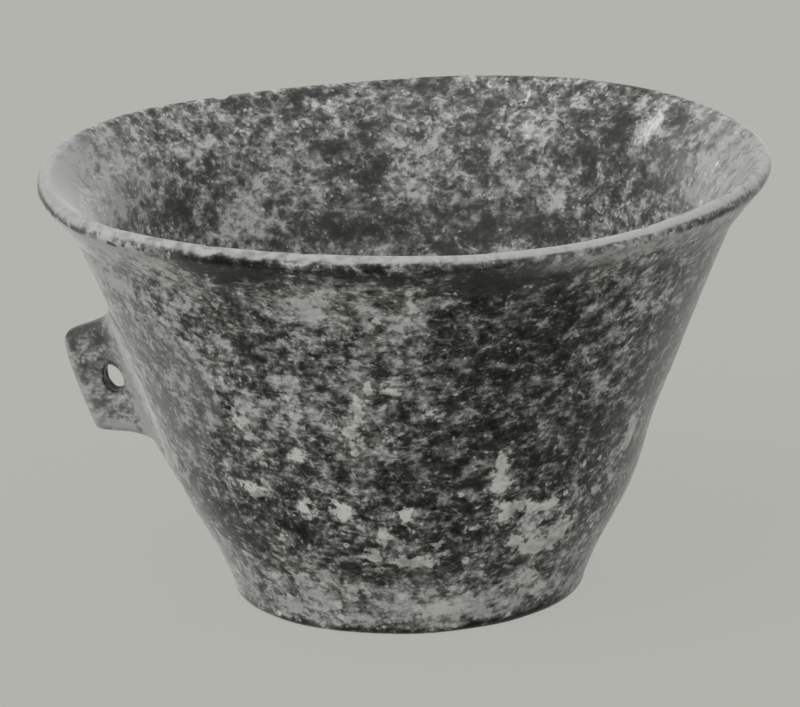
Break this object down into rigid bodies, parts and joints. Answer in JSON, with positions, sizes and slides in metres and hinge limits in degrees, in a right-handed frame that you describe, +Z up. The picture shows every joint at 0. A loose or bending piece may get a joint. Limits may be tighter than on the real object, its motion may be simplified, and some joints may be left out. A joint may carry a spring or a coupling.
{
  "type": "handled bowl",
  "caption": "Deep hand-built earthenware bowl with a flat base, a flared lip and one upright pierced lug on its side.",
  "frame": {"origin": "on the resting plane, under the middle of the mouth", "axes": "+Z up out of the mouth; the pierced lug points to -X, and the hole through it runs along Y"},
  "size_m": [0.1811, 0.1812, 0.1103],
  "materials": {
    "burnished_earthenware": "dark burnished slip, worn and mottled, with pale lime crusts"
  },
  "bodies": {
    "root": {"floor_disc": "burnished_earthenware", "foot_coil": "burnished_earthenware", "wall_coil_1": "burnished_earthenware", "wall_coil_2": "burnished_earthenware", "wall_coil_3": "burnished_earthenware", "wall_coil_4": "burnished_earthenware", "wall_coil_5": "burnished_earthenware", "rim_coil": "burnished_earthenware", "pierced_lug": "burnished_earthenware"}
  },
  "joints": []
}
